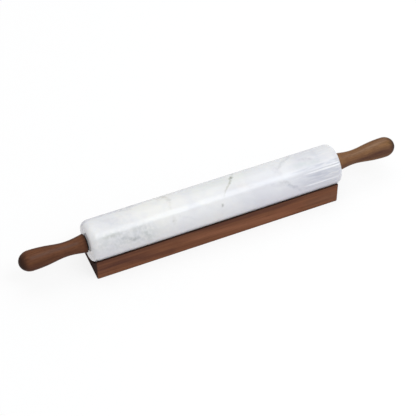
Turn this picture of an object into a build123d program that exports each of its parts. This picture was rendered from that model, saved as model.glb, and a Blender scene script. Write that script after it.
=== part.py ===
"""Marble rolling pin lying in its wooden cradle. All sizes in millimetres.

The pin lies along X. The origin is on the cradle's underside, below the middle of the pin,
with Z up. The barrel turns on a steel rod that joins the two handles.
"""
import os
from math import sqrt

from build123d import *

# Marble barrel: a straight cylinder whose ends are rounded by a quarter of an ellipse
barrel_diameter = 60.0
barrel_length = 378.0
end_round_length = 10.0
end_round_height = 7.0
bore_mouth_chamfer = 0.6

# Steel rod right through the barrel; its screw threads are left out
rod_diameter = 8.0
rod_end_margin = 2.0
rod_end_chamfer = 1.0

# Flanged nylon bush glued into each mouth of the barrel's bore
bush_stem_diameter = 16.0
bush_stem_length = 15.0
bush_flange_diameter = 22.0
bush_flange_thickness = 1.2
bush_edge_chamfer = 0.4

# Washer and thin lock nut at each end of the rod, and the brass insert in each handle
washer_diameter = 16.0
washer_thickness = 1.6
washer_edge_chamfer = 0.2
nut_across_flats = 13.0
nut_thickness = 4.0
nut_chamfer = 0.6
insert_diameter = 11.0
insert_length = 18.0
insert_chamfer = 0.5
insert_slot_width = 1.6
insert_slot_depth = 2.0

# Turned wooden handle: flared base, slim neck, bulb and rounded end
handle_length = 95.0
base_diameter = 26.8
neck_diameter = 20.3
bulb_diameter = 29.0
neck_distance = 27.5
handle_end_length = 16.5
base_edge_round = 0.8

# How long the pulls at the two ends of each bend are, as shares of the bend's length, and how
# far the flare has dropped at its first pull
flare_shares = (0.33, 0.345)
flare_drop_share = 0.46
swell_shares = (0.295, 0.51)

# Cradle: one block with a round groove along its top
cradle_height = 32.9
cradle_floor = 14.85
lip_land = 3.3
left_overhang = 2.5
right_overhang = 7.5
corner_round = 2.2
top_edge_round = 1.0
bottom_edge_round = 0.8
lip_edge_round = 0.4

# Clearances
running_clearance = 0.08
thread_clearance = 0.05
washer_clearance = 0.2
glue_gap = 0.1
axial_gap = 0.3
recess_clearance = 0.5
groove_clearance = 0.3
cut_overrun = 5.0

# Radii and places that follow from the sizes above; "out" is a distance from the middle along X
barrel_radius = barrel_diameter / 2
rod_radius = rod_diameter / 2
bush_stem_radius = bush_stem_diameter / 2
bore_radius = bush_stem_radius + glue_gap
washer_radius = washer_diameter / 2
nut_corner_radius = nut_across_flats / sqrt(3)
barrel_end_out = barrel_length / 2
handle_base_out = barrel_end_out + bush_flange_thickness + axial_gap
nut_face_out = handle_base_out + washer_thickness
recess_floor_out = nut_face_out + nut_thickness
insert_end_out = recess_floor_out + insert_length
rod_end_out = insert_end_out - rod_end_margin
handle_end_out = handle_base_out + handle_length
groove_radius = barrel_radius + groove_clearance
axis_height = cradle_floor + groove_radius


def turned(*edges):
    """Solid swept once round the pin's axis by a closed outline of (out, radius) points."""
    outline = [edge for line in edges for edge in line.edges()]
    return revolve(make_face(outline), Axis.X)


def raised(solid):
    """Lifts a piece of the pin from the X axis to its height in the cradle."""
    return Pos(0, 0, axis_height) * solid


def quarter_ellipse(start, corner, end):
    """Quarter of an ellipse that leaves start and meets end in line with the corner."""
    return Bezier(start, corner, end, weights=[1, sqrt(1 / 2), 1])


def marble_barrel():
    """Stone cylinder with a bore right through and softly rounded ends."""
    straight_out = barrel_end_out - end_round_length
    face_radius = barrel_radius - end_round_height
    mouth_radius = bore_radius + bore_mouth_chamfer
    mouth_out = barrel_end_out - bore_mouth_chamfer
    left_round = quarter_ellipse(
        (-barrel_end_out, face_radius),
        (-barrel_end_out, barrel_radius),
        (-straight_out, barrel_radius),
    )
    right_round = quarter_ellipse(
        (straight_out, barrel_radius),
        (barrel_end_out, barrel_radius),
        (barrel_end_out, face_radius),
    )
    side = Line((-straight_out, barrel_radius), (straight_out, barrel_radius))
    bore = Polyline(
        (barrel_end_out, face_radius),
        (barrel_end_out, mouth_radius),
        (mouth_out, bore_radius),
        (-mouth_out, bore_radius),
        (-barrel_end_out, mouth_radius),
        (-barrel_end_out, face_radius),
    )
    return turned(left_round, side, right_round, bore)


def axle_rod():
    """Plain rod, bevelled at both ends."""
    bevel_out = rod_end_out - rod_end_chamfer
    bevel_radius = rod_radius - rod_end_chamfer
    return turned(Polyline(
        (-rod_end_out, 0),
        (-rod_end_out, bevel_radius),
        (-bevel_out, rod_radius),
        (bevel_out, rod_radius),
        (rod_end_out, bevel_radius),
        (rod_end_out, 0),
        close=True,
    ))


def bush():
    """Right bush: a stem inside the bore and a flange flat on the barrel's end."""
    hole_radius = rod_radius + running_clearance
    flange_radius = bush_flange_diameter / 2
    stem_end_out = barrel_end_out - bush_stem_length
    face_out = barrel_end_out + bush_flange_thickness
    return turned(Polyline(
        (stem_end_out, hole_radius),
        (stem_end_out, bush_stem_radius - bush_edge_chamfer),
        (stem_end_out + bush_edge_chamfer, bush_stem_radius),
        (barrel_end_out, bush_stem_radius),
        (barrel_end_out, flange_radius),
        (face_out - bush_edge_chamfer, flange_radius),
        (face_out, flange_radius - bush_edge_chamfer),
        (face_out, hole_radius),
        close=True,
    ))


def washer():
    """Right washer, its inner face in line with the handle's base."""
    hole_radius = rod_radius + washer_clearance
    return turned(Polyline(
        (handle_base_out, hole_radius),
        (handle_base_out, washer_radius - washer_edge_chamfer),
        (handle_base_out + washer_edge_chamfer, washer_radius),
        (nut_face_out, washer_radius),
        (nut_face_out, hole_radius),
        close=True,
    ))


def lock_nut():
    """Right thin hexagon nut between the washer and the handle's insert."""
    hole_radius = rod_radius + thread_clearance
    bevel_radius = nut_corner_radius - nut_chamfer
    bevelled = turned(Polyline(
        (nut_face_out, hole_radius),
        (nut_face_out, bevel_radius),
        (nut_face_out + nut_chamfer, nut_corner_radius),
        (recess_floor_out - nut_chamfer, nut_corner_radius),
        (recess_floor_out, bevel_radius),
        (recess_floor_out, hole_radius),
        close=True,
    ))
    hexagon = Plane.YZ * RegularPolygon(nut_across_flats / 2, 6, major_radius=False)
    prism = Pos(nut_face_out, 0, 0) * extrude(hexagon, nut_thickness)
    return bevelled & prism


def handle_insert():
    """Right brass sleeve for the rod's end, with a driving slot across the face by the nut."""
    hole_radius = rod_radius + thread_clearance
    outer_radius = insert_diameter / 2
    sleeve = turned(Polyline(
        (recess_floor_out, hole_radius),
        (recess_floor_out, outer_radius - insert_chamfer),
        (recess_floor_out + insert_chamfer, outer_radius),
        (insert_end_out - insert_chamfer, outer_radius),
        (insert_end_out, outer_radius - insert_chamfer),
        (insert_end_out, hole_radius),
        close=True,
    ))
    slot = Pos(recess_floor_out, 0, 0) * Box(
        insert_slot_depth, insert_slot_width, insert_diameter + cut_overrun,
        align=(Align.MIN, Align.CENTER, Align.CENTER))
    return sleeve - slot


def handle():
    """Right handle: turned outside, stepped inside for the washer, the nut and the insert."""
    base_radius = base_diameter / 2
    neck_radius = neck_diameter / 2
    bulb_radius = bulb_diameter / 2
    recess_radius = max(washer_radius, nut_corner_radius) + recess_clearance
    insert_hole_radius = insert_diameter / 2 + glue_gap
    flare_out = handle_base_out + base_edge_round
    neck_out = handle_base_out + neck_distance
    bulb_out = handle_end_out - handle_end_length
    flare_length = neck_out - flare_out
    swell_length = bulb_out - neck_out
    drop = (base_radius - neck_radius) * flare_drop_share
    base_edge = quarter_ellipse(
        (handle_base_out, base_radius - base_edge_round),
        (handle_base_out, base_radius),
        (flare_out, base_radius),
    )
    flare = Bezier(
        (flare_out, base_radius),
        (flare_out + flare_length * flare_shares[0], base_radius - drop),
        (neck_out - flare_length * flare_shares[1], neck_radius),
        (neck_out, neck_radius),
    )
    swell = Bezier(
        (neck_out, neck_radius),
        (neck_out + swell_length * swell_shares[0], neck_radius),
        (bulb_out - swell_length * swell_shares[1], bulb_radius),
        (bulb_out, bulb_radius),
    )
    end = quarter_ellipse(
        (bulb_out, bulb_radius),
        (handle_end_out, bulb_radius),
        (handle_end_out, 0),
    )
    inside = Polyline(
        (handle_end_out, 0),
        (insert_end_out, 0),
        (insert_end_out, insert_hole_radius),
        (recess_floor_out, insert_hole_radius),
        (recess_floor_out, recess_radius),
        (handle_base_out, recess_radius),
        (handle_base_out, base_radius - base_edge_round),
    )
    return turned(base_edge, flare, swell, end, inside)


def cradle():
    """Wooden block with eased edges and a groove that carries the barrel."""
    lip_drop = axis_height - cradle_height
    groove_half_width = sqrt(groove_radius ** 2 - lip_drop ** 2)
    width = 2 * (groove_half_width + lip_land)
    length = barrel_length - left_overhang - right_overhang
    middle = (left_overhang - right_overhang) / 2
    block = Pos(middle, 0, 0) * Box(
        length, width, cradle_height, align=(Align.CENTER, Align.CENTER, Align.MIN))
    block = fillet(block.edges().filter_by(Axis.Z), corner_round)
    block = fillet(block.faces().sort_by(Axis.Z)[-1].edges(), top_edge_round)
    block = fillet(block.faces().sort_by(Axis.Z)[0].edges(), bottom_edge_round)
    groove = raised(Rot(0, 90, 0) * Cylinder(groove_radius, barrel_length + cut_overrun))
    carved = block - groove
    lip_edges = [
        edge for edge in carved.edges().filter_by(Axis.X)
        if abs(edge.center().Y) < groove_half_width + lip_edge_round
        and edge.center().Z > cradle_height - lip_edge_round
    ]
    return fillet(lip_edges, lip_edge_round)


def main():
    """Writes one STEP file per piece."""
    os.makedirs("parts", exist_ok=True)
    pieces = {
        "marble_barrel": raised(marble_barrel()),
        "axle_rod": raised(axle_rod()),
        "cradle": cradle(),
    }
    pairs = {
        "bush": bush(),
        "washer": washer(),
        "lock_nut": lock_nut(),
        "handle_insert": handle_insert(),
        "handle": handle(),
    }
    for name, piece in pairs.items():
        pieces["right_" + name] = raised(piece)
        pieces["left_" + name] = raised(Rot(0, 0, 180) * piece)
    for name, piece in pieces.items():
        piece.label = name
        export_step(piece, os.path.join("parts", name + ".step"))


main()
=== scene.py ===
"""Finishes the marble rolling pin and its cradle, and sets them on a pale studio floor.

Every size is in metres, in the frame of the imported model: the pin lies along X, Z is up and the
origin is under the middle of the pin. Angles round the pin start at the front (-Y) and go over
the top. Colours are linear.
"""
import math

import bmesh
import bpy
from bpy.props import FloatProperty, FloatVectorProperty, PointerProperty
from mathutils import Matrix, Vector


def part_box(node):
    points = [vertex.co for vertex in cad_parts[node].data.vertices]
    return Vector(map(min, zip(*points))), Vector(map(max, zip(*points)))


bl_info = {
    "name": "Marble Rolling Pin Finishes",
    "version": (1, 0, 0),
    "blender": (4, 5, 0),
    "location": "3D View > Sidebar > Rolling Pin",
    "description": "Stone, wood and metal finishes for a rolling pin in its cradle, with a stage",
    "category": "Material",
}

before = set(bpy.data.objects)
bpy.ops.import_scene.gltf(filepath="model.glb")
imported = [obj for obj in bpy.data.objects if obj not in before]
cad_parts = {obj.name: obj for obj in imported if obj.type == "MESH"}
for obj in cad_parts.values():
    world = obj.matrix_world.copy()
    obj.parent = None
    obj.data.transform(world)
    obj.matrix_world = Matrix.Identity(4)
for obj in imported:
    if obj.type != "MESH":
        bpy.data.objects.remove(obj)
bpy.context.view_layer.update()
BARREL_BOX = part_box("marble_barrel")
CRADLE_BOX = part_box("cradle")

MM = 0.001
AXIS_HEIGHT = (BARREL_BOX[0].z + BARREL_BOX[1].z) / 2
BARREL_RADIUS = (BARREL_BOX[1].z - BARREL_BOX[0].z) / 2
PIN_MIDDLE = Vector((0, 0, AXIS_HEIGHT))


class Bench:
    """Node tree being built. Each method adds nodes and gives back the socket to link on."""

    column_width = 190
    row_height = 220
    rows = 6
    # Sockets of the colour mix node: its share, first and second colour, and then its result
    mix_inputs = (0, 6, 7)
    mix_output = 2

    def __init__(self, tree):
        self.tree = tree

    def add(self, kind, inputs=None, **settings):
        """One node, its settings, and its inputs by name or number."""
        count = len(self.tree.nodes)
        node = self.tree.nodes.new(kind)
        column, row = divmod(count, self.rows)
        node.location = (column * self.column_width, -row * self.row_height)
        for name, value in settings.items():
            setattr(node, name, value)
        for key, value in (inputs or {}).items():
            self.feed(node.inputs[key], value)
        return node

    def feed(self, socket, value):
        """Links a socket or sets its value."""
        if isinstance(value, bpy.types.NodeSocket):
            self.tree.links.new(value, socket)
        else:
            socket.default_value = value

    def math(self, operation, first, second=0.0, clamp=False):
        inputs = {0: first, 1: second}
        return self.add("ShaderNodeMath", inputs, operation=operation, use_clamp=clamp).outputs[0]

    def vector(self, operation, first, second):
        """Vector result of a vector sum, product or the like."""
        inputs = {0: first, 1: second}
        return self.add("ShaderNodeVectorMath", inputs, operation=operation).outputs[0]

    def scaled(self, vector, factor):
        inputs = {0: vector, "Scale": factor}
        return self.add("ShaderNodeVectorMath", inputs, operation="SCALE").outputs[0]

    def measure(self, operation, first, second):
        """Number from a vector operation, such as a length or a distance."""
        inputs = {0: first, 1: second}
        return self.add("ShaderNodeVectorMath", inputs, operation=operation).outputs["Value"]

    def split(self, vector):
        return self.add("ShaderNodeSeparateXYZ", {0: vector}).outputs

    def join(self, x, y, z=0.0):
        return self.add("ShaderNodeCombineXYZ", {0: x, 1: y, 2: z}).outputs[0]

    def object_place(self):
        """Place on the piece in the model's own frame, which moves with it."""
        return self.add("ShaderNodeTexCoord").outputs["Object"]

    def object_normal(self):
        return self.add("ShaderNodeTexCoord").outputs["Normal"]

    def noise(self, place, scale, detail=2.0, roughness=0.5, distortion=0.0, output="Fac"):
        inputs = {
            "Vector": place,
            "Scale": scale,
            "Detail": detail,
            "Roughness": roughness,
            "Distortion": distortion,
        }
        return self.add("ShaderNodeTexNoise", inputs).outputs[output]

    def spread(self, value, low, high, smooth=True):
        """Share from 0 at low to 1 at high. It falls instead where low is above high."""
        inputs = {"Value": value, "From Min": low, "From Max": high, "To Min": 0.0, "To Max": 1.0}
        kind = "SMOOTHSTEP" if smooth else "LINEAR"
        return self.add("ShaderNodeMapRange", inputs, interpolation_type=kind).outputs["Result"]

    def between(self, share, first, second):
        """Number from first to second, which may be sockets."""
        inputs = {"Value": share, "From Min": 0.0, "From Max": 1.0, "To Min": first, "To Max": second}
        return self.add("ShaderNodeMapRange", inputs).outputs["Result"]

    def cover(self, value, shares, strength):
        """Share from 0 where the value is at the first share to the strength at the second."""
        return self.math("MULTIPLY", self.spread(value, *shares), strength)

    def breaks(self, value, shares, weakest):
        """Factor that thins a mark in places, from the weakest up to 1."""
        return self.between(self.spread(value, *shares), weakest, 1.0)

    def blend(self, share, first, second):
        """Colour from first to second."""
        node = self.add("ShaderNodeMix", data_type="RGBA")
        values = (share, opaque(first), opaque(second))
        for number, value in zip(self.mix_inputs, values):
            self.feed(node.inputs[number], value)
        return node.outputs[self.mix_output]

    def ramp(self, share, stops):
        """Colour from a ramp with these stops, each a position and a colour."""
        node = self.add("ShaderNodeValToRGB", {"Fac": share})
        elements = node.color_ramp.elements
        elements.remove(elements[-1])
        elements[0].position = stops[0][0]
        for position, _ in stops[1:]:
            elements.new(position)
        for element, (_, colour) in zip(elements, stops):
            element.color = opaque(colour)
        return node.outputs[0]

    def bump(self, height, distance):
        """Normal of a surface that a height of 1 raises by this distance."""
        inputs = {"Height": height, "Distance": distance, "Strength": 1.0}
        return self.add("ShaderNodeBump", inputs).outputs["Normal"]

    def finish(self, inputs):
        """Surface shader with these inputs, linked to the output."""
        shader = self.add("ShaderNodeBsdfPrincipled", inputs)
        output = self.add("ShaderNodeOutputMaterial")
        self.tree.links.new(shader.outputs[0], output.inputs["Surface"])


def opaque(colour):
    """Colour with its fourth number, for a colour socket. A socket is given back as it is."""
    if isinstance(colour, bpy.types.NodeSocket):
        return colour
    return (*colour, 1.0)


def new_material(name):
    """Empty node material, and the bench to build it on."""
    material = bpy.data.materials.new(name)
    material.use_nodes = True
    material.node_tree.nodes.clear()
    return material, Bench(material.node_tree)


def dress(material, *node_names):
    """Gives the material to every slot of these CAD pieces."""
    for name in node_names:
        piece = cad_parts.get(name)
        if piece is None or not piece.material_slots:
            raise RuntimeError(f"the packed model has no piece {name} with a material slot")
        for slot in piece.material_slots:
            slot.material = material


class StoneFinish(bpy.types.PropertyGroup):
    """Polished marble."""

    body_colour: FloatVectorProperty(
        name="Body", description="Main colour of the stone", subtype="COLOR", size=3,
        min=0, max=1, default=(0.785, 0.790, 0.806))
    warm_colour: FloatVectorProperty(
        name="Warm clouds", description="Ivory clouds in the stone", subtype="COLOR", size=3,
        min=0, max=1, default=(0.82, 0.815, 0.79))
    cool_colour: FloatVectorProperty(
        name="Cool clouds", description="Grey clouds in the stone", subtype="COLOR", size=3,
        min=0, max=1, default=(0.72, 0.718, 0.755))
    vein_colour: FloatVectorProperty(
        name="Thin veins", description="Fine grey veins all through", subtype="COLOR", size=3,
        min=0, max=1, default=(0.54, 0.55, 0.57))
    cloud_size: FloatProperty(
        name="Cloud size", description="Distance from one cloud to the next",
        subtype="DISTANCE", unit="LENGTH", min=0.01, max=1, default=0.08)
    polish: FloatProperty(
        name="Roughness", description="Roughness of the polish, 0 for a mirror",
        subtype="FACTOR", min=0, max=1, default=0.16)


def wood_colour(name, description, default):
    """Property for one of a wood's colours."""
    return FloatVectorProperty(
        name=name, description=description, subtype="COLOR", size=3, min=0, max=1,
        default=default)


class WoodFinish:
    """Oiled walnut. Each handle and the cradle have their own set."""

    ring_spacing: FloatProperty(
        name="Ring spacing", description="Distance from one year's ring to the next",
        subtype="DISTANCE", unit="LENGTH", min=0.0005, max=0.02, default=0.0032)
    sheen_roughness: FloatProperty(
        name="Roughness", description="Roughness of the oiled surface", subtype="FACTOR",
        min=0, max=1, default=0.44)


class LeftHandleWood(WoodFinish, bpy.types.PropertyGroup):
    """Walnut of the left handle, the darker of the two."""

    middle_colour: wood_colour("Middle", "Main colour of the wood", (0.125, 0.050, 0.027))
    light_colour: wood_colour("Light bands", "Colour of the early wood", (0.168, 0.071, 0.036))
    dark_colour: wood_colour("Dark bands", "Colour of late wood and pores", (0.056, 0.023, 0.015))
    end_colour: wood_colour(
        "End grain", "Colour across the ends, where oil soaks in", (0.030, 0.016, 0.012))


class RightHandleWood(WoodFinish, bpy.types.PropertyGroup):
    """Walnut of the right handle, the paler of the two."""

    middle_colour: wood_colour("Middle", "Main colour of the wood", (0.192, 0.095, 0.047))
    light_colour: wood_colour("Light bands", "Colour of the early wood", (0.260, 0.138, 0.064))
    dark_colour: wood_colour("Dark bands", "Colour of late wood and pores", (0.085, 0.038, 0.026))
    end_colour: wood_colour(
        "End grain", "Colour across the ends, where oil soaks in", (0.034, 0.018, 0.013))


class CradleWood(WoodFinish, bpy.types.PropertyGroup):
    """Walnut of the cradle."""

    middle_colour: wood_colour("Middle", "Main colour of the wood", (0.192, 0.079, 0.042))
    light_colour: wood_colour("Light bands", "Colour of the early wood", (0.272, 0.118, 0.060))
    dark_colour: wood_colour("Dark bands", "Colour of late wood and pores", (0.092, 0.038, 0.027))
    end_colour: wood_colour(
        "End grain", "Colour across the ends, where oil soaks in", (0.044, 0.032, 0.029))


class HardwareFinish(bpy.types.PropertyGroup):
    """Metal and plastic inside the pin."""

    steel_colour: FloatVectorProperty(
        name="Steel", description="Bare steel of the rod", subtype="COLOR", size=3,
        min=0, max=1, default=(0.53, 0.52, 0.50))
    zinc_colour: FloatVectorProperty(
        name="Zinc", description="Plating of the washers and nuts", subtype="COLOR", size=3,
        min=0, max=1, default=(0.60, 0.62, 0.65))
    brass_colour: FloatVectorProperty(
        name="Brass", description="Brass of the handle inserts", subtype="COLOR", size=3,
        min=0, max=1, default=(0.78, 0.53, 0.22))
    # The bushes are black nylon; the black also stands in as painted shade in the gap between each
    # handle's base and the stone
    nylon_colour: FloatVectorProperty(
        name="Nylon", description="Moulded nylon of the bushes", subtype="COLOR", size=3,
        min=0, max=1, default=(0.030, 0.030, 0.032))


class StageSettings(bpy.types.PropertyGroup):
    """Floor, lamps, sky and camera."""

    floor_size: FloatProperty(
        name="Floor size", description="Side of the square floor", subtype="DISTANCE",
        unit="LENGTH", min=1, max=50, default=9)
    floor_colour: FloatVectorProperty(
        name="Floor", description="Colour of the floor for the light it throws back",
        subtype="COLOR", size=3, min=0, max=1, default=(0.73, 0.715, 0.77))
    floor_whiteness: FloatProperty(
        name="Floor whiteness", description="Share of the floor that shows as plain white",
        subtype="FACTOR", min=0, max=1, default=0.8)
    sky_level: FloatProperty(
        name="Sky level", description="Brightness of the surroundings", min=0, max=2,
        default=0.64)
    key_level: FloatProperty(
        name="Key softbox", description="Brightness of the softbox above the camera",
        min=0, max=20, default=3.33)
    top_level: FloatProperty(
        name="Top panel", description="Brightness of the panel overhead", min=0, max=20,
        default=0.85)
    front_level: FloatProperty(
        name="Front panel", description="Brightness of the panel behind the camera", min=0,
        max=20, default=0.24)
    lens_length: FloatProperty(
        name="Lens", description="Focal length in millimetres on a 36 mm sensor",
        min=20, max=400, default=121.91)


class RollingPinSettings(bpy.types.PropertyGroup):
    """All the finishes and the stage."""

    stone: PointerProperty(type=StoneFinish)
    left_handle: PointerProperty(type=LeftHandleWood)
    right_handle: PointerProperty(type=RightHandleWood)
    cradle: PointerProperty(type=CradleWood)
    hardware: PointerProperty(type=HardwareFinish)
    stage: PointerProperty(type=StageSettings)


def settings(context):
    """All the property groups of the scene."""
    return context.scene.rolling_pin


# Marks in the stone: a colour, and a line of points. A point is its place along the pin in
# millimetres, its angle round the pin in degrees, and there the mark's half width in millimetres
# and its strength.
STONE_MARKS = {
    "main vein": ((0.17, 0.165, 0.125), (
        (54, 178, 3.4, 0.60), (44, 150, 4.4, 1.0), (38, 132, 4.6, 1.0), (35.5, 124, 3.6, 0.60),
        (34, 118, 3.0, 0.38), (31.6, 110.5, 2.8, 0.38))),
    "main vein knot": ((0.13, 0.13, 0.115), (
        (31.2, 108, 3.6, 0.75), (30.2, 105, 5.4, 1.0), (29.4, 101, 5.0, 0.95),
        (27.5, 96.5, 3.2, 0.45))),
    "main vein tail": ((0.24, 0.23, 0.13), (
        (28, 99, 3.6, 0.50), (25.5, 91.5, 3.2, 0.48), (23, 84, 3.8, 0.60), (18.5, 77, 3.4, 0.48),
        (14.5, 69.5, 3.0, 0.27), (10, 59.5, 2.6, 0.17), (8, 52, 2.0, 0.05))),
    "main vein dot": ((0.20, 0.20, 0.18), ((3.2, 32.5, 3.2, 0.56), (2, 29.5, 3.2, 0.54))),
    "brown vein": ((0.34, 0.32, 0.25), (
        (-75, 150, 6.0, 0.50), (-72, 128, 5.6, 0.52), (-70.5, 117, 6.8, 0.64),
        (-68, 105, 5.0, 0.20), (-65.5, 94.5, 5.6, 0.24), (-66, 84, 4.8, 0.18),
        (-68, 74, 4.4, 0.20), (-69, 62, 3.0, 0.02))),
    "brown vein foot": ((0.36, 0.35, 0.29), (
        (-69, 46, 3.0, 0.06), (-68.5, 38, 3.8, 0.20), (-69, 32, 4.8, 0.52),
        (-69, 27, 3.8, 0.20))),
    "brown smudge": ((0.50, 0.49, 0.42), (
        (-82, 132, 8.0, 0.30), (-80, 112, 7.0, 0.26), (-58, 122, 6.0, 0.20))),
    "grey vein": ((0.33, 0.34, 0.38), (
        (138, 146, 5.6, 0.26), (121, 118, 7.0, 0.34), (111, 103, 6.4, 0.36),
        (101, 89, 5.6, 0.30), (98, 85, 5.2, 0.33))),
    "grey vein shadow": ((0.46, 0.44, 0.50), (
        (92, 90, 9.0, 0.26), (94, 70, 9.0, 0.26), (98, 60, 7.0, 0.12))),
    "left mottle low": ((0.18, 0.20, 0.20), (
        (-134, 21, 4.0, 0.34), (-130.5, 19.5, 4.8, 0.95), (-126, 17, 4.0, 0.42),
        (-120, 20, 4.0, 0.16))),
    "left mottle high": ((0.30, 0.33, 0.35), (
        (-147, 33, 4.8, 0.34), (-144.5, 29, 5.2, 0.52), (-138, 27, 4.6, 0.34))),
    "left mottle edge": ((0.32, 0.35, 0.30), (
        (-133, 43, 4.6, 0.14), (-124, 43.5, 5.6, 0.20), (-117, 42, 4.6, 0.16))),
    "left mottle far": ((0.34, 0.37, 0.31), (
        (-170, 46, 4.6, 0.20), (-158, 46, 5.8, 0.54), (-147, 44, 5.0, 0.26))),
    "left green cloud": ((0.46, 0.51, 0.44), (
        (-113, 38, 7.0, 0.22), (-110, 22, 8.0, 0.36), (-106, 5, 9.0, 0.34))),
    "left blue streak": ((0.50, 0.53, 0.61), (
        (-174, 80, 6.0, 0.16), (-160, 79, 7.6, 0.30), (-146, 76, 7.6, 0.32),
        (-128, 70, 6.0, 0.18))),
    "left purple streak": ((0.50, 0.48, 0.56), (
        (-166, 96, 7.0, 0.18), (-150, 88, 7.0, 0.26), (-126, 86, 6.0, 0.15))),
    "left grey cloud": ((0.40, 0.40, 0.46), (
        (-190, 128, 11.0, 0.80), (-168, 136, 15.0, 0.95), (-150, 130, 11.0, 0.90),
        (-130, 139, 17.0, 1.0), (-112, 131, 12.0, 0.95), (-92, 141, 13.0, 0.70),
        (-60, 148, 9.0, 0.35))),
    # painted shade along the top back edge of the stone, all along the pin
    "back edge painted shade": ((0.50, 0.50, 0.54), (
        (-196, 133, 13.0, 0.50), (-70, 130, 11.0, 0.50), (-10, 137, 14.0, 0.62),
        (46, 131, 10.0, 0.56), (96, 138, 14.0, 0.52), (140, 130, 9.0, 0.34),
        (196, 134, 12.0, 0.20))),
    "left grey smudge": ((0.42, 0.42, 0.46), (
        (-138, 117, 5.0, 0.30), (-128, 112, 6.0, 0.36), (-120, 106, 4.0, 0.20))),
    "left end haze": ((0.52, 0.54, 0.55), (
        (-184, 34, 24.0, 0.40), (-160, 28, 26.0, 0.50), (-112, 24, 26.0, 0.60),
        (-92, 24, 24.0, 0.20))),
    "middle streaks": ((0.58, 0.58, 0.62), (
        (-60, 40, 4.0, 0.26), (-48, 30, 4.0, 0.20), (-34, 12, 4.0, 0.10))),
    "middle smudge": ((0.60, 0.60, 0.64), ((-16, 38, 6.0, 0.22), (4, 22, 8.0, 0.16))),
    "right slant": ((0.48, 0.48, 0.54), (
        (72, 50, 4.0, 0.16), (82, 43, 4.6, 0.28), (94, 34, 4.0, 0.14))),
    "right grey streak": ((0.40, 0.41, 0.46), (
        (94, 41, 5.0, 0.32), (103, 35, 6.4, 0.72), (110, 22, 6.0, 0.55), (117, 13, 6.0, 0.50),
        (122, 0, 7.0, 0.20))),
    "right purple spot": ((0.38, 0.34, 0.40), (
        (131, 89, 3.6, 0.20), (138, 85, 5.4, 0.52), (146, 81, 5.0, 0.46))),
    "right green cloud": ((0.48, 0.58, 0.54), (
        (124, 74, 8.0, 0.24), (140, 70, 8.0, 0.46), (158, 68, 7.0, 0.28))),
    "right blue cloud": ((0.50, 0.53, 0.62), ((156, 104, 8.0, 0.32), (158, 76, 8.0, 0.28))),
    "middle pink cloud": ((0.72, 0.64, 0.63), ((34, 70, 10.0, 0.20), (46, 62, 10.0, 0.20))),
    "middle green cloud": ((0.70, 0.76, 0.68), ((40, 104, 20.0, 0.30), (-20, 108, 24.0, 0.30))),
}
# Near the right end: a grey cloud, then lines along the stone of painted highlight (the white ones)
# and of painted shade beside them, where the stone's reflections break up
PAINTED_GLINT_MARKS = {
    "right cool cloud": ((0.57, 0.58, 0.64), (
        (158, 116, 60.0, 0.30), (158, 62, 62.0, 0.46), (156, 46, 66.0, 0.95),
        (156, 20, 70.0, 1.0), (166, -5, 70.0, 0.65))),
    "upper shade": ((0.40, 0.41, 0.48), (
        (112, 56, 2.2, 0.12), (132, 56.5, 3.0, 0.42), (160, 57, 3.2, 0.62),
        (186, 57, 3.4, 0.56))),
    "upper foot": ((0.44, 0.46, 0.53), (
        (134, 35, 3.4, 0.30), (150, 34, 4.6, 0.56), (168, 34, 4.4, 0.46), (186, 33, 4.0, 0.34))),
    "upper line": ((1.0, 1.0, 1.0), (
        (128, 43.5, 1.2, 0.20), (142, 43, 1.9, 0.80), (164, 43, 2.1, 1.0), (186, 43, 1.8, 0.9))),
    "upper line twin": ((0.96, 0.97, 0.99), ((140, 49.5, 1.3, 0.3), (184, 49.5, 1.6, 0.65))),
    "upper gap": ((0.42, 0.43, 0.49), ((138, 46.4, 1.2, 0.20), (184, 46.3, 1.6, 0.55))),
    "lower line": ((1.0, 1.0, 1.0), (
        (126, 10, 1.1, 0.20), (138, 9.4, 2.0, 0.85), (154, 9, 2.0, 0.85), (180, 9, 1.8, 0.5))),
    "lower shade": ((0.46, 0.47, 0.53), ((130, 1, 2.8, 0.26), (176, 0, 3.2, 0.32))),
}
# Every noise scale in this file is per metre
NOISE_MIDDLE = 0.5
DRIFT_DETAIL = 3.0
MARK_WANDER_SCALE = 60.0
MARK_WANDER = 1.6 * MM
MARK_FRAY_SCALE = 300.0
MARK_FRAY = 3.2 * MM
MARK_BREAK_NOISE = {"scale": 170.0, "detail": 3.0}
MARK_BREAK_SHARES = (0.36, 0.60)
MARK_WEAKEST = 0.35
# How far the painted highlight and painted shade lines wander
GLINT_WANDER = 0.5 * MM
CLOUD_NOISE = {"detail": 5.0, "roughness": 0.55, "distortion": 0.3}
CLOUD_SHARES = (0.38, 0.66)
WARM_NOISE = {"detail": 5.0, "roughness": 0.55, "distortion": 0.2}
WARM_SHIFT = (0.37, 0.11, 0.23)
BAND_STRETCH = (0.35, 1.0, 1.0)
BAND_TURN = (0.0, math.radians(24), math.radians(52))
BAND_NOISE = {"scale": 30.0, "detail": 4.0, "roughness": 0.6, "distortion": 0.6}
BAND_SHARES = (0.45, 0.75)
BAND_STRENGTH = 0.16
THREAD_SHIFT = (0.53, 0.29, 0.71)
THREAD_NOISE = {"scale": 17.0, "detail": 4.0, "roughness": 0.55, "distortion": 0.8}
THREAD_HALF_WIDTH = 0.045
THREAD_COVER_SHARES = (0.60, 0.40)
THREAD_STRENGTH = 0.07
MOTTLE_NOISE = {"scale": 80.0, "detail": 3.0, "roughness": 0.6, "distortion": 0.5}
MOTTLE_SHARES = (0.42, 0.66)
MOTTLE_STRENGTH = 0.30
# Breaks along the painted highlight and painted shade lines near the right end
GLINT_BREAK_STRETCH = (0.15, 1.0, 1.0)
GLINT_BREAK_NOISE = {"scale": 420.0}
GLINT_BREAK_SHARES = (0.35, 0.60)
GLINT_WEAKEST = 0.45
CRYSTAL_NOISE = {"scale": 900.0, "roughness": 0.6}
CRYSTAL_STRENGTH = 0.05
POLISH_UNEVENNESS = 0.03
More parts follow.
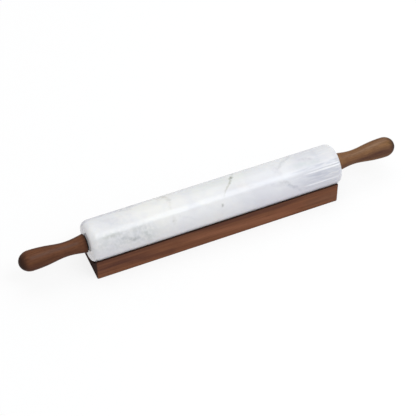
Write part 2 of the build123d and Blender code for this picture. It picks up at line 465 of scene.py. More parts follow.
# The polish is a little duller from the first to the second of these places along the pin
DULL_ENDS = (80 * MM, 140 * MM)
DULLNESS = 0.06
RIPPLE_STRETCH = (0.12, 1.0, 1.0)
RIPPLE_NOISE = {"scale": 260.0}
RIPPLE_DEPTH = 0.04 * MM
STONE_IOR = 1.52
STONE_GLOW = 0.18
STONE_GLOW_DEPTH = 5 * MM
# How far red, green and blue light spread in the stone, as shares of that depth
STONE_GLOW_SHARES = (1.0, 0.85, 0.7)


def mark_mask(bench, place, points, second_unit):
    """Mask of a mark: full on its line, fading out at its half width and past its ends.

    The line is read off a colour ramp along its longer run. Red holds how far the line lies to
    the side, green its half width and blue its strength.
    """
    x, y, _ = bench.split(place)
    rows = [(first * MM, second * second_unit, half_width * MM, strength)
            for first, second, half_width, strength in points]
    x_run, y_run = (abs(rows[-1][axis] - rows[0][axis]) for axis in (0, 1))
    along, aside = x, y
    if y_run > x_run:
        along, aside = y, x
        rows = [(second, first, *rest) for first, second, *rest in rows]
    rows.sort()
    start, first_aside, start_width, start_strength = rows[0]
    end, last_aside, end_width, end_strength = rows[-1]
    rows.insert(0, (start - start_width, first_aside, start_width, 0.0))
    rows.append((end + end_width, last_aside, end_width, 0.0))
    span = rows[-1][0] - rows[0][0]
    low = min(row[1] for row in rows)
    sway = max(row[1] for row in rows) - low or MM
    widest = max(row[2] for row in rows)
    share = bench.spread(along, rows[0][0], rows[-1][0], smooth=False)
    line = bench.ramp(share, [
        ((run - rows[0][0]) / span, ((side - low) / sway, half_width / widest, strength))
        for run, side, half_width, strength in rows])
    red, green, blue = bench.split(line)
    distance = bench.math("SUBTRACT", aside, bench.between(red, low, low + sway))
    distance = bench.math("ABSOLUTE", distance)
    half_width = bench.math("MULTIPLY", green, widest)
    return bench.math("MULTIPLY", bench.spread(distance, half_width, 0.0), blue)


def draw_marks(bench, colour, marks, place, second_unit, breaks):
    """Colour with all the marks laid over it, each thinned here and there by the breaks."""
    for tint, points in marks.values():
        mask = mark_mask(bench, place, points, second_unit)
        colour = bench.blend(bench.math("MULTIPLY", mask, breaks), colour, tint)
    return colour


def unrolled(bench, place, radius):
    """Place on the pin's side laid flat: along the pin, then round it from the front."""
    x, y, z = bench.split(place)
    height = bench.math("SUBTRACT", z, AXIS_HEIGHT)
    forward = bench.math("MULTIPLY", y, -1.0)
    turn = bench.math("ARCTAN2", height, forward)
    return bench.join(x, bench.math("MULTIPLY", turn, radius))


def drift(bench, place, scale, amounts):
    """Slow random shift, by up to half of these amounts to either side."""
    swing = bench.noise(place, scale, DRIFT_DETAIL, output="Color")
    swing = bench.vector("SUBTRACT", swing, (NOISE_MIDDLE, NOISE_MIDDLE, NOISE_MIDDLE))
    return bench.vector("MULTIPLY", swing, amounts)


def wander(bench, flat, scale, amount):
    """Flat place moved a little by noise, so that a drawn line isn't straight."""
    return bench.vector("ADD", flat, drift(bench, flat, scale, (amount, amount, 0)))


def marble(finish):
    """Polished white marble: clouds and veins right through it, and marks seen on its side."""
    material, bench = new_material("polished_marble")
    place = bench.object_place()
    cloud_scale = 1 / finish.cloud_size
    clouds = bench.noise(place, cloud_scale, **CLOUD_NOISE)
    shifted = bench.vector("ADD", place, WARM_SHIFT)
    warmth = bench.noise(shifted, cloud_scale, **WARM_NOISE)
    colour = bench.blend(
        bench.spread(clouds, *CLOUD_SHARES), finish.body_colour, finish.cool_colour)
    colour = bench.blend(bench.spread(warmth, *CLOUD_SHARES), colour, finish.warm_colour)

    turned = bench.add(
        "ShaderNodeVectorRotate", {"Vector": place, "Rotation": BAND_TURN},
        rotation_type="EULER_XYZ").outputs[0]
    stretched = bench.vector("MULTIPLY", turned, BAND_STRETCH)
    bands = bench.noise(stretched, **BAND_NOISE)
    colour = bench.blend(
        bench.cover(bands, BAND_SHARES, BAND_STRENGTH), colour, finish.vein_colour)

    aside = bench.vector("ADD", stretched, THREAD_SHIFT)
    ridge = bench.math("SUBTRACT", bench.noise(aside, **THREAD_NOISE), NOISE_MIDDLE)
    threads = bench.spread(bench.math("ABSOLUTE", ridge), THREAD_HALF_WIDTH, 0.0)
    thread_cover = bench.cover(warmth, THREAD_COVER_SHARES, THREAD_STRENGTH)
    thread_share = bench.math("MULTIPLY", threads, thread_cover)
    colour = bench.blend(thread_share, colour, finish.vein_colour)

    mottle = bench.noise(shifted, **MOTTLE_NOISE)
    colour = bench.blend(
        bench.cover(mottle, MOTTLE_SHARES, MOTTLE_STRENGTH), colour, finish.cool_colour)

    flat = unrolled(bench, place, BARREL_RADIUS)
    arc = math.radians(BARREL_RADIUS)
    loose = wander(bench, flat, MARK_WANDER_SCALE, MARK_WANDER)
    frayed = wander(bench, loose, MARK_FRAY_SCALE, MARK_FRAY)
    break_noise = bench.noise(place, **MARK_BREAK_NOISE)
    breaks = bench.breaks(break_noise, MARK_BREAK_SHARES, MARK_WEAKEST)
    colour = draw_marks(bench, colour, STONE_MARKS, frayed, arc, breaks)
    # painted highlights and painted shade near the right end, thinned here and there
    straight = wander(bench, flat, MARK_WANDER_SCALE, GLINT_WANDER)
    glint_break_noise = bench.noise(bench.vector("MULTIPLY", flat, GLINT_BREAK_STRETCH), **GLINT_BREAK_NOISE)
    glint_breaks = bench.breaks(glint_break_noise, GLINT_BREAK_SHARES, GLINT_WEAKEST)
    colour = draw_marks(bench, colour, PAINTED_GLINT_MARKS, straight, arc, glint_breaks)

    crystals = bench.noise(place, **CRYSTAL_NOISE)
    crystal_share = bench.math("MULTIPLY", crystals, CRYSTAL_STRENGTH)
    colour = bench.blend(crystal_share, colour, finish.vein_colour)

    low, high = finish.polish - POLISH_UNEVENNESS, finish.polish + POLISH_UNEVENNESS
    roughness = bench.between(clouds, low, high)
    dullness = bench.cover(bench.split(place)[0], DULL_ENDS, DULLNESS)
    roughness = bench.math("ADD", roughness, dullness)
    ripples = bench.noise(bench.vector("MULTIPLY", flat, RIPPLE_STRETCH), **RIPPLE_NOISE)
    bench.finish({
        "Base Color": colour,
        "Roughness": roughness,
        "IOR": STONE_IOR,
        "Normal": bench.bump(ripples, RIPPLE_DEPTH),
        "Subsurface Weight": STONE_GLOW,
        "Subsurface Radius": STONE_GLOW_SHARES,
        "Subsurface Scale": STONE_GLOW_DEPTH,
    })
    return material


# Walnut. The grain runs along X; the stretches give how much slower it changes along the grain.
ACROSS_GRAIN = (0, 1, 1)
RING_STRETCH = (0.045, 1.0, 1.0)
RING_WANDER_SCALE = 26.0
RING_WANDER = 10 * MM
RING_CHANGE_ALONG = 3.0
RING_NOISE = {"scale": 1.0, "detail": 3.0, "roughness": 0.6}
RING_SHARPNESS = (0.30, 0.72)
STREAK_STRETCH = (0.03, 1.0, 1.0)
STREAK_NOISE = {"scale": 240.0, "detail": 4.0, "roughness": 0.65}
STREAK_SHARES = (0.48, 0.72)
STREAK_STRENGTH = 0.45
TONE_STRETCH = (0.5, 1.0, 1.0)
TONE_NOISE = {"scale": 9.0}
TONE_SHARES = (0.42, 0.66)
TONE_STRENGTH = 0.35
FIBRE_STRETCH = (0.022, 1.0, 1.0)
FIBRE_NOISE = {"scale": 1100.0}
FIBRE_SHARES = (0.40, 0.70)
FIBRE_STRENGTH = 0.35
PORE_STRETCH = (0.05, 1.0, 1.0)
PORE_NOISE = {"scale": 1700.0, "detail": 1.0}
PORE_SHARES = (0.30, 0.22)
PORE_STRENGTH = 0.8
PORE_DEPTH = 0.06 * MM
# Height of the fibres as a share of the pores' depth
FIBRE_HEIGHT_SHARE = 0.25
# How strongly the end colour covers the light and the dark rings
END_COVERS = (1.0, 0.78)
SHEEN_UNEVENNESS = (-0.08, 0.10)
WOOD_IOR = 1.45


def walnut(name, finish, pith, end_facings, specular, shade):
    """Oiled walnut with rings round a pith line along X that passes through (y, z).

    The end grain comes in between the two end facings. The shade function lays the piece's own
    marks over the colour, painted shade and painted sheen among them.
    """
    material, bench = new_material(name)
    place = bench.object_place()
    stretched = bench.vector("MULTIPLY", place, RING_STRETCH)
    swing = drift(bench, stretched, RING_WANDER_SCALE, (RING_WANDER, RING_WANDER, RING_WANDER))
    drifted = bench.vector("ADD", place, swing)
    across = bench.vector("MULTIPLY", drifted, ACROSS_GRAIN)
    radius = bench.measure("DISTANCE", across, (0, *pith))
    year = bench.math("DIVIDE", radius, finish.ring_spacing)
    slow_x = bench.math("MULTIPLY", bench.split(place)[0], RING_CHANGE_ALONG)
    rings = bench.noise(bench.join(slow_x, 0.0, year), **RING_NOISE)
    ring_share = bench.spread(rings, *RING_SHARPNESS)
    colour = bench.blend(ring_share, finish.light_colour, finish.middle_colour)

    streaks = bench.noise(bench.vector("MULTIPLY", drifted, STREAK_STRETCH), **STREAK_NOISE)
    streak_share = bench.cover(streaks, STREAK_SHARES, STREAK_STRENGTH)
    colour = bench.blend(streak_share, colour, finish.dark_colour)
    tone = bench.noise(bench.vector("MULTIPLY", place, TONE_STRETCH), **TONE_NOISE)
    tone_share = bench.cover(tone, TONE_SHARES, TONE_STRENGTH)
    colour = bench.blend(tone_share, colour, finish.middle_colour)
    colour = shade(bench, finish, place, colour)

    fibres = bench.noise(bench.vector("MULTIPLY", drifted, FIBRE_STRETCH), **FIBRE_NOISE)
    fibre_share = bench.cover(fibres, FIBRE_SHARES, FIBRE_STRENGTH)
    colour = bench.blend(fibre_share, colour, finish.dark_colour)
    pore_noise = bench.noise(bench.vector("MULTIPLY", place, PORE_STRETCH), **PORE_NOISE)
    pores = bench.spread(pore_noise, *PORE_SHARES)
    pore_share = bench.math("MULTIPLY", pores, PORE_STRENGTH)
    colour = bench.blend(pore_share, colour, finish.dark_colour)
    facing = bench.math("ABSOLUTE", bench.split(bench.object_normal())[0])
    end_cover = bench.between(ring_share, *END_COVERS)
    colour = bench.blend(
        bench.cover(facing, end_facings, end_cover), colour, finish.end_colour)

    sheens = [finish.sheen_roughness + change for change in SHEEN_UNEVENNESS]
    raised = bench.math("MULTIPLY", fibres, FIBRE_HEIGHT_SHARE)
    height = bench.math("SUBTRACT", raised, pores)
    bench.finish({
        "Base Color": colour,
        "Roughness": bench.between(fibres, *sheens),
        "IOR": WOOD_IOR,
        "Specular IOR Level": specular,
        "Normal": bench.bump(height, PORE_DEPTH),
    })
    return material


HANDLE_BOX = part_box("right_handle")
HANDLE_RADIUS = (HANDLE_BOX[1].z - HANDLE_BOX[0].z) / 2
HANDLE_BASE_OUT = HANDLE_BOX[0].x
HANDLE_PITH_BEHIND = 55 * MM
HANDLE_PITH_BELOW = 45 * MM
HANDLE_PITH = (HANDLE_PITH_BEHIND, AXIS_HEIGHT - HANDLE_PITH_BELOW)
HANDLE_END_FACINGS = (0.10, 0.80)
HANDLE_SPECULAR = 0.03
# Painted shadow of the barrel on the left handle's base, in the end grain's colour; the right handle
# has none
BASE_SHADOW_LENGTH = 6 * MM
LEFT_BASE_PAINTED_SHADOW = 0.55
RIGHT_BASE_PAINTED_SHADOW = 0.0
GRAIN_WANDER_SCALE = 18.0
GRAIN_WANDER = 2.2 * MM
# Marks on the handles, with points as for the stone: grain and tone, painted shade on their lower
# sides, and painted sheen
LEFT_HANDLE_MARKS = {
    # painted shade on the underside of the left handle
    "painted underside shade": ((0.050, 0.021, 0.017), (
        (-284, -4, 9.0, 0.60), (-262, -8, 8.5, 0.45), (-236, -14, 7.5, 0.45),
        (-205, -20, 7.0, 0.40), (-190, -20, 7.0, 0.5))),
    "warm line": ((0.20, 0.080, 0.025), (
        (-276, 33, 1.6, 0.35), (-256, 30, 1.8, 0.40), (-222, 30, 1.4, 0.15))),
    # painted shade on the lower side, where the floor is reflected
    "lower shade": ((0.082, 0.035, 0.021), (
        (-268, 24, 5.6, 0.66), (-240, 22, 6.0, 0.66), (-216, 20, 5.4, 0.50),
        (-198, 18, 5.0, 0.30))),
    "warm patch": ((0.21, 0.085, 0.032), ((-266, 96, 3.6, 0.30), (-252, 98, 3.6, 0.40))),
    # painted sheen where the key softbox would reflect on the left handle
    "grey painted sheen": ((0.155, 0.090, 0.070), (
        (-268, 62, 5.0, 0.50), (-240, 66, 5.4, 0.60), (-204, 64, 5.2, 0.55))),
    "dark back": ((0.068, 0.032, 0.025), (
        (-262, 116, 4.0, 0.30), (-240, 112, 5.0, 0.50), (-222, 110, 5.4, 0.62),
        (-200, 112, 5.0, 0.45))),
}
RIGHT_HANDLE_MARKS = {
    # painted shade on the underside of the right handle
    "painted underside shade": ((0.083, 0.039, 0.030), (
        (192, -12, 8.0, 0.45), (214, -6, 8.5, 0.52), (232, 8, 9.6, 0.78), (248, 16, 11.0, 0.90),
        (264, 20, 12.0, 0.95), (284, 18, 10.0, 0.85))),
    # painted sheen where the key softbox would reflect on the right handle
    "pale painted sheen": ((0.310, 0.195, 0.125), (
        (194, 72, 5.0, 0.25), (214, 68, 5.6, 0.45), (240, 74, 6.0, 0.62),
        (258, 84, 6.4, 0.60), (270, 90, 5.4, 0.45))),
    "yellow base": ((0.285, 0.160, 0.052), ((191, 90, 6.0, 0.55), (197, 78, 5.0, 0.20))),
    "olive streak": ((0.120, 0.070, 0.022), (
        (226, 108, 1.8, 0.45), (240, 104, 1.6, 0.20), (258, 112, 2.0, 0.35))),
    "olive tip": ((0.150, 0.085, 0.026), ((272, 66, 4.0, 0.40), (281, 50, 4.5, 0.50))),
}


GRAIN_BREAK_STRETCH = (0.08, 1.0, 1.0)
GRAIN_BREAK_NOISE = {"scale": 300.0, "detail": 3.0}
GRAIN_BREAK_SHARES = (0.30, 0.60)
GRAIN_WEAKEST = 0.65


def grained(bench, place):
    """Breaks that run along the grain, for thinning a mark."""
    along = bench.vector("MULTIPLY", place, GRAIN_BREAK_STRETCH)
    break_noise = bench.noise(along, **GRAIN_BREAK_NOISE)
    return bench.breaks(break_noise, GRAIN_BREAK_SHARES, GRAIN_WEAKEST)


def handle_shade(marks, base_shadow_share):
    """Function that lays a handle's marks over its wood, with painted shadow of the barrel on its
    base.
    """
    def shade(bench, finish, place, colour):
        flat = unrolled(bench, place, HANDLE_RADIUS)
        flat = wander(bench, flat, GRAIN_WANDER_SCALE, GRAIN_WANDER)
        arc = math.radians(HANDLE_RADIUS)
        colour = draw_marks(bench, colour, marks, flat, arc, grained(bench, place))
        out = bench.math("ABSOLUTE", bench.split(place)[0])
        base_shadow_edges = (HANDLE_BASE_OUT + BASE_SHADOW_LENGTH, HANDLE_BASE_OUT)
        # painted shadow at the base, in the end grain's colour
        return bench.blend(bench.cover(out, base_shadow_edges, base_shadow_share), colour, finish.end_colour)
    return shade


CRADLE_PITH = (30 * MM, -90 * MM)
CRADLE_END_FACINGS = (0.45, 0.95)
CRADLE_SPECULAR = 0.0
CRADLE_TOP = CRADLE_BOX[1].z
# Marks on the cradle's front: tone in its grain, and the upper shade, painted shade under the stone's
# overhang. Points are places along X and heights, both in millimetres
CRADLE_MARKS = {
    "left dark cloud": ((0.078, 0.034, 0.030), (
        (-186, 19, 11.0, 0.62), (-150, 20, 12.0, 0.66), (-122, 17, 11.0, 0.60),
        (-100, 16, 9.0, 0.25))),
    # painted shade under the stone's overhang, all along the top of the front
    "upper shade": ((0.078, 0.034, 0.027), (
        (-186, 32, 11.0, 0.52), (-116, 31, 11.0, 0.48), (-70, 32, 11.0, 0.36),
        (0, 31, 12.0, 0.46), (80, 30, 12.0, 0.48), (130, 32, 11.0, 0.42), (182, 33, 11.0, 0.34))),
    "left dark foot": ((0.075, 0.033, 0.030), ((-118, 10, 8.0, 0.35), (-76, 9, 9.0, 0.50))),
    "upper dark band": ((0.080, 0.034, 0.028), (
        (-46, 33, 3.5, 0.35), (0, 31, 6.0, 0.55), (46, 30, 7.0, 0.60), (92, 28, 6.0, 0.55),
        (124, 29, 4.0, 0.25))),
    "pale band": ((0.330, 0.142, 0.078), (
        (-62, 24, 5.0, 0.20), (-40, 19, 8.0, 0.62), (-8, 17, 9.0, 0.62), (30, 14, 10.0, 0.58),
        (62, 11, 10.0, 0.72), (88, 9, 10.0, 0.62), (114, 8, 9.0, 0.40))),
    "right red band": ((0.270, 0.108, 0.062), ((88, 17, 8.0, 0.40), (124, 17, 9.0, 0.45))),
    "right brown end": ((0.215, 0.106, 0.064), ((138, 14, 16.0, 0.50), (176, 14, 16.0, 0.60))),
}
# Painted shade on the lips under the stone: it grows between these depths below the cradle's top,
# and between these distances in from its front or back
LIP_DROPS = (1.5 * MM, 0.4 * MM)
LIP_EDGES = (-0.3 * MM, 1.3 * MM)
# Painted shade in the groove under the stone grows between these distances from the stone
GROOVE_REACHES = (1.6 * MM, 0.7 * MM)
GROOVE_SHADE_COLOUR = (0.022, 0.012, 0.009)
GROOVE_SHADE_STRENGTH = 0.93
# Painted shade along the bottom edge, where the cradle meets the floor
FOOT_SHADE_COLOUR = (0.040, 0.015, 0.012)
FOOT_SHADE_HEIGHTS = (2.0 * MM, 0.2 * MM)
FOOT_SHADE_STRENGTH = 0.7


def cradle_shade(bench, finish, place, colour):
    """Lays the cradle's marks over its wood, and paints shade into the groove, onto its lips and
    along the foot.
    """
    x, y, z = bench.split(place)
    flat = wander(bench, bench.join(x, z), GRAIN_WANDER_SCALE, GRAIN_WANDER)
    colour = draw_marks(bench, colour, CRADLE_MARKS, flat, MM, grained(bench, place))
    lip = bench.spread(z, *(CRADLE_TOP - drop for drop in LIP_DROPS))
    inward = bench.math("SUBTRACT", CRADLE_BOX[1].y, bench.math("ABSOLUTE", y))
    lip = bench.math("MULTIPLY", lip, bench.spread(inward, *LIP_EDGES))
    from_axis = bench.measure("DISTANCE", bench.join(0.0, y, z), (0, 0, AXIS_HEIGHT))
    groove = bench.spread(from_axis, *(BARREL_RADIUS + reach for reach in GROOVE_REACHES))
    # painted shade of the groove and the lips under the stone
    dark = bench.math("MULTIPLY", bench.math("MAXIMUM", lip, groove), GROOVE_SHADE_STRENGTH)
    colour = bench.blend(dark, colour, GROOVE_SHADE_COLOUR)
    # painted shade along the bottom edge
    return bench.blend(bench.cover(z, FOOT_SHADE_HEIGHTS, FOOT_SHADE_STRENGTH), colour, FOOT_SHADE_COLOUR)


METAL_MARK_DEPTH = 0.02 * MM
STEEL_STRETCH = (0.02, 1.0, 1.0)
STEEL_LINE_NOISE = {"scale": 3000.0}
STEEL_DARKEST = 0.8
STEEL_ROUGHNESSES = (0.24, 0.42)
ZINC_NOISE = {"scale": 420.0, "detail": 3.0, "roughness": 0.6}
ZINC_DARKEST = 0.82
ZINC_ROUGHNESSES = (0.22, 0.44)
BRASS_RING_SPACING = 0.3927 * MM
BRASS_RING_DEPTH = 0.01 * MM
BRASS_TARNISH_NOISE = {"scale": 260.0, "detail": 4.0, "roughness": 0.6}
BRASS_DARKEST = 0.72
BRASS_ROUGHNESSES = (0.22, 0.45)
NYLON_SKIN_NOISE = {"scale": 1400.0}
NYLON_SKIN_DEPTH = 0.03 * MM
NYLON_CLOUD_NOISE = {"scale": 160.0, "detail": 3.0}
NYLON_DARKEST = 0.88
NYLON_ROUGHNESSES = (0.42, 0.60)
NYLON_GLOW = 0.15
NYLON_GLOW_DEPTH = 2 * MM


def uneven(bench, share, colour, darkest):
    """Colour that falls to its darkest where the share is full."""
    return bench.blend(share, colour, [part * darkest for part in colour])


def steel(finish):
    """Drawn steel with fine lines along the rod."""
    material, bench = new_material("rod_steel")
    stretched = bench.vector("MULTIPLY", bench.object_place(), STEEL_STRETCH)
    lines = bench.noise(stretched, **STEEL_LINE_NOISE)
    bench.finish({
        "Base Color": uneven(bench, lines, finish.steel_colour, STEEL_DARKEST),
        "Metallic": 1.0,
        "Roughness": bench.between(lines, *STEEL_ROUGHNESSES),
        "Normal": bench.bump(lines, METAL_MARK_DEPTH),
    })
    return material


def zinc(finish):
    """Bright zinc plating with a faint crystal mottle."""
    material, bench = new_material("zinc_steel")
    mottle = bench.noise(bench.object_place(), **ZINC_NOISE)
    bench.finish({
        "Base Color": uneven(bench, mottle, finish.zinc_colour, ZINC_DARKEST),
        "Metallic": 1.0,
        "Roughness": bench.between(mottle, *ZINC_ROUGHNESSES),
        "Normal": bench.bump(mottle, METAL_MARK_DEPTH),
    })
    return material


def brass(finish):
    """Machined brass with rings from the turning tool and a little tarnish."""
    material, bench = new_material("insert_brass")
    place = bench.object_place()
    turn = bench.math("MULTIPLY", bench.split(place)[0], math.tau / BRASS_RING_SPACING)
    rings = bench.math("SINE", turn, clamp=True)
    tarnish = bench.noise(place, **BRASS_TARNISH_NOISE)
    bench.finish({
        "Base Color": uneven(bench, tarnish, finish.brass_colour, BRASS_DARKEST),
        "Metallic": 1.0,
        "Roughness": bench.between(tarnish, *BRASS_ROUGHNESSES),
        "Normal": bench.bump(rings, BRASS_RING_DEPTH),
    })
    return material


def nylon(finish):
    """Moulded black nylon with a fine matt skin."""
    material, bench = new_material("nylon")
    place = bench.object_place()
    skin = bench.noise(place, **NYLON_SKIN_NOISE)
    clouds = bench.noise(place, **NYLON_CLOUD_NOISE)
    bench.finish({
        "Base Color": uneven(bench, clouds, finish.nylon_colour, NYLON_DARKEST),
        "Roughness": bench.between(skin, *NYLON_ROUGHNESSES),
        "Normal": bench.bump(skin, NYLON_SKIN_DEPTH),
        "Subsurface Weight": NYLON_GLOW,
        "Subsurface Scale": NYLON_GLOW_DEPTH,
    })
    return material


class PolishStone(bpy.types.Operator):
    """Gives the barrel its polished marble"""

    bl_idname = "rolling_pin.polish_stone"
    bl_label = "Polish Stone"

    def execute(self, context):
        dress(marble(settings(context).stone), "marble_barrel")
        return {"FINISHED"}


class OilHandles(bpy.types.Operator):
    """Gives both handles their oiled walnut"""

    bl_idname = "rolling_pin.oil_handles"
    bl_label = "Oil Handles"

    def execute(self, context):
        groups = settings(context)
        left = handle_shade(LEFT_HANDLE_MARKS, LEFT_BASE_PAINTED_SHADOW)
        right = handle_shade(RIGHT_HANDLE_MARKS, RIGHT_BASE_PAINTED_SHADOW)
        sides = (
            ("left_handle", groups.left_handle, left),
            ("right_handle", groups.right_handle, right),
        )
        for name, finish, shade in sides:
            wood = walnut(
                name + "_wood", finish, HANDLE_PITH, HANDLE_END_FACINGS, HANDLE_SPECULAR, shade)
            dress(wood, name)
        return {"FINISHED"}


class OilCradle(bpy.types.Operator):
    """Gives the cradle its oiled walnut"""

    bl_idname = "rolling_pin.oil_cradle"
    bl_label = "Oil Cradle"

    def execute(self, context):
        finish = settings(context).cradle
        wood = walnut(
            "cradle_wood", finish, CRADLE_PITH, CRADLE_END_FACINGS, CRADLE_SPECULAR,
            cradle_shade)
        dress(wood, "cradle")
        return {"FINISHED"}


class FinishHardware(bpy.types.Operator):
    """Gives the rod, washers, nuts, inserts and bushes their metal and nylon"""

    bl_idname = "rolling_pin.finish_hardware"
    bl_label = "Finish Hardware"

    def execute(self, context):
        finish = settings(context).hardware
        dress(steel(finish), "axle_rod")
        dress(zinc(finish), "left_washer", "right_washer", "left_lock_nut", "right_lock_nut")
        dress(brass(finish), "left_handle_insert", "right_handle_insert")
        dress(nylon(finish), "left_bush", "right_bush")
        return {"FINISHED"}


# The photograph's frame is 416 pixels square. The pin's middle is at this pixel in it.
IMAGE_SIDE_PX = 416
PIN_MIDDLE_PX = (213.26, 201.78)
SENSOR_WIDTH_MM = 36.0
CAMERA_AZIMUTH = math.radians(-23.472)
CAMERA_ELEVATION = math.radians(47.112)
CAMERA_ROLL = math.radians(-0.217)
CAMERA_DISTANCE = 1.9679
CLIP_END = 100.0


def camera(stage):
    """Camera that sees the pin from where the photograph was taken."""
    lens = bpy.data.cameras.new("camera")
    lens.sensor_width = SENSOR_WIDTH_MM
    lens.lens = stage.lens_length
    lens.clip_end = CLIP_END
    azimuth, elevation, roll = CAMERA_AZIMUTH, CAMERA_ELEVATION, CAMERA_ROLL
    back = Vector((
        math.sin(azimuth) * math.cos(elevation),
        -math.cos(azimuth) * math.cos(elevation),
        math.sin(elevation),
    ))
    level = Vector((math.cos(azimuth), math.sin(azimuth), 0))
    upright = back.cross(level)
    right = level * math.cos(roll) + upright * math.sin(roll)
    up = upright * math.cos(roll) - level * math.sin(roll)
    pixel_size = SENSOR_WIDTH_MM / IMAGE_SIDE_PX / stage.lens_length * CAMERA_DISTANCE
    across = (PIN_MIDDLE_PX[0] - IMAGE_SIDE_PX / 2) * pixel_size
    down = (PIN_MIDDLE_PX[1] - IMAGE_SIDE_PX / 2) * pixel_size
    place = PIN_MIDDLE + back * CAMERA_DISTANCE - right * across + up * down
    turn = Matrix((right, up, back)).transposed().to_4x4()
    holder = bpy.data.objects.new("camera", lens)
    holder.matrix_world = Matrix.Translation(place) @ turn
    bpy.context.scene.collection.objects.link(holder)
    bpy.context.scene.camera = holder


def seen_or_mirrored(bench):
    """1 for what the camera sees directly, in a reflection or through glass, and else 0."""
    rays = bench.add("ShaderNodeLightPath").outputs
    mirrored = bench.math("MAXIMUM", rays["Is Glossy Ray"], rays["Is Transmission Ray"])
    return bench.math("MAXIMUM", rays["Is Camera Ray"], mirrored)


WHITE_STRENGTH = 1.0
SEEN_FLOOR_COLOUR = (1.0, 1.0, 1.0)
FLOOR_SEGMENTS = 4
SPECKLE_NOISE = {"scale": 40.0, "detail": 3.0}
SPECKLE_DARKEST = 0.98


def floor(stage):
    """Large pale floor that shows white and keeps the object's shadow."""
    half = stage.floor_size / 2
    mesh = bpy.data.meshes.new("floor")
    build = bmesh.new()
    bmesh.ops.create_grid(
        build, x_segments=FLOOR_SEGMENTS, y_segments=FLOOR_SEGMENTS, size=half)
    build.to_mesh(mesh)
    build.free()
    piece = bpy.data.objects.new("floor", mesh)
    bpy.context.scene.collection.objects.link(piece)
    material, bench = new_material("floor")
    speckle = bench.noise(bench.object_place(), **SPECKLE_NOISE)
    seen = seen_or_mirrored(bench)
    shade = bench.blend(seen, stage.floor_colour, SEEN_FLOOR_COLOUR)
    shade = bench.scaled(shade, bench.between(speckle, SPECKLE_DARKEST, 1.0))
    matt = bench.add("ShaderNodeBsdfDiffuse", {"Color": shade})
    white = bench.add("ShaderNodeEmission", {"Strength": WHITE_STRENGTH})
    share = bench.math("MULTIPLY", seen, stage.floor_whiteness)
    mix = bench.add("ShaderNodeMixShader", {0: share, 1: matt.outputs[0], 2: white.outputs[0]})
    output = bench.add("ShaderNodeOutputMaterial")
    bench.feed(output.inputs["Surface"], mix.outputs[0])
    mesh.materials.append(material)


SKY_COLOUR = (1.0, 1.0, 1.0)


def sky(stage):
    """Even pale surroundings that show white."""
    world = bpy.data.worlds.new("sky")
    world.use_nodes = True
    world.node_tree.nodes.clear()
    bench = Bench(world.node_tree)
    level = bench.between(seen_or_mirrored(bench), stage.sky_level, WHITE_STRENGTH)
    inputs = {"Color": opaque(SKY_COLOUR), "Strength": level}
    background = bench.add("ShaderNodeBackground", inputs)
    output = bench.add("ShaderNodeOutputWorld")
    bench.feed(output.inputs["Surface"], background.outputs[0])
    bpy.context.scene.world = world


def softbox(name, level, tint, width, depth, middle, aim):
    """Square-cornered lamp of an even brightness that faces the aim."""
    lamp = bpy.data.lights.new(name, "AREA")
    lamp.shape = "RECTANGLE"
    lamp.size = width
    lamp.size_y = depth
    lamp.energy = math.pi * width * depth * level
    lamp.color = tint
    holder = bpy.data.objects.new(name, lamp)
    holder.location = middle
    holder.rotation_euler = (Vector(middle) - aim).to_track_quat("Z", "Y").to_euler()
    holder.visible_camera = False
    bpy.context.scene.collection.objects.link(holder)


KEY_DISTANCE = 2.3
KEY_ELEVATIONS = (math.radians(49.5), math.radians(77))
KEY_EDGES = (0.05, 1.75)
KEY_TINT = (0.906, 0.96, 1.0)
TOP_HEIGHT = 2.3
TOP_DEPTHS = (-0.45, 1.7)
TOP_EDGES = (-0.8, 1.5)
TOP_TINT = (1.0, 1.0, 0.99)
FRONT_DEPTH = -2.5
FRONT_HEIGHTS = (0.15, 1.9)
FRONT_EDGES = (-1.1, 1.7)
FRONT_TINT = (0.98, 0.985, 1.0)


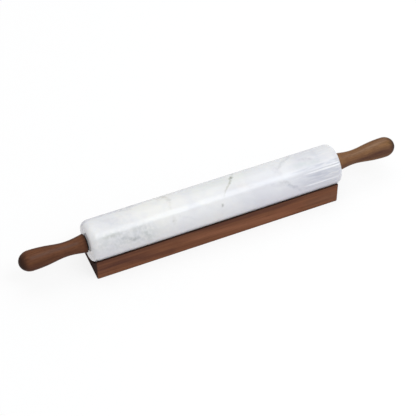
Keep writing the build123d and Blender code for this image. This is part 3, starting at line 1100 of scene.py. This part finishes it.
def lamps(stage):
    """Key softbox above the camera, a dimmer panel overhead and one behind the camera."""
    low, high = KEY_ELEVATIONS
    middle_elevation = (low + high) / 2
    depth = 2 * KEY_DISTANCE * math.tan((high - low) / 2)
    left, right = KEY_EDGES
    middle = PIN_MIDDLE + KEY_DISTANCE * Vector((
        0, -math.cos(middle_elevation), math.sin(middle_elevation)))
    middle.x = (left + right) / 2
    aim = PIN_MIDDLE + Vector((middle.x, 0, 0))
    softbox("key_softbox", stage.key_level, KEY_TINT, right - left, depth, middle, aim)

    near, far = TOP_DEPTHS
    left, right = TOP_EDGES
    middle = Vector(((left + right) / 2, (near + far) / 2, AXIS_HEIGHT + TOP_HEIGHT))
    aim = Vector((middle.x, middle.y, 0))
    softbox("top_panel", stage.top_level, TOP_TINT, right - left, far - near, middle, aim)

    low, high = FRONT_HEIGHTS
    left, right = FRONT_EDGES
    middle = Vector(((left + right) / 2, FRONT_DEPTH, (low + high) / 2))
    aim = Vector((middle.x, 0, middle.z))
    softbox("front_panel", stage.front_level, FRONT_TINT, right - left, high - low, middle, aim)


class SetStage(bpy.types.Operator):
    """Lays the floor, hangs the lamps and places the camera"""

    bl_idname = "rolling_pin.set_stage"
    bl_label = "Set Stage"

    def execute(self, context):
        stage = settings(context).stage
        context.scene.view_settings.view_transform = "Standard"
        floor(stage)
        sky(stage)
        lamps(stage)
        camera(stage)
        return {"FINISHED"}


OPERATORS = (PolishStone, OilHandles, OilCradle, FinishHardware, SetStage)


class RollingPinPanel(bpy.types.Panel):
    """Lists the finishes in the 3D view's sidebar"""

    bl_idname = "VIEW3D_PT_rolling_pin"
    bl_label = "Rolling Pin"
    bl_space_type = "VIEW_3D"
    bl_region_type = "UI"
    bl_category = "Rolling Pin"

    def draw(self, context):
        groups = settings(context)
        for title, operator in (
            ("stone", PolishStone),
            ("left_handle", OilHandles),
            ("right_handle", OilHandles),
            ("cradle", OilCradle),
            ("hardware", FinishHardware),
            ("stage", SetStage),
        ):
            box = self.layout.box()
            box.operator(operator.bl_idname)
            group = getattr(groups, title)
            for item in group.bl_rna.properties:
                if item.identifier not in ("rna_type", "name"):
                    box.prop(group, item.identifier)


CLASSES = (
    StoneFinish,
    LeftHandleWood,
    RightHandleWood,
    CradleWood,
    HardwareFinish,
    StageSettings,
    RollingPinSettings,
    *OPERATORS,
    RollingPinPanel,
)


def register():
    for item in CLASSES:
        bpy.utils.register_class(item)
    bpy.types.Scene.rolling_pin = PointerProperty(type=RollingPinSettings)


def unregister():
    del bpy.types.Scene.rolling_pin
    for item in reversed(CLASSES):
        bpy.utils.unregister_class(item)


def main():
    register()
    bpy.ops.rolling_pin.polish_stone()
    bpy.ops.rolling_pin.oil_handles()
    bpy.ops.rolling_pin.oil_cradle()
    bpy.ops.rolling_pin.finish_hardware()
    bpy.ops.rolling_pin.set_stage()


if __name__ == "__main__":
    main()
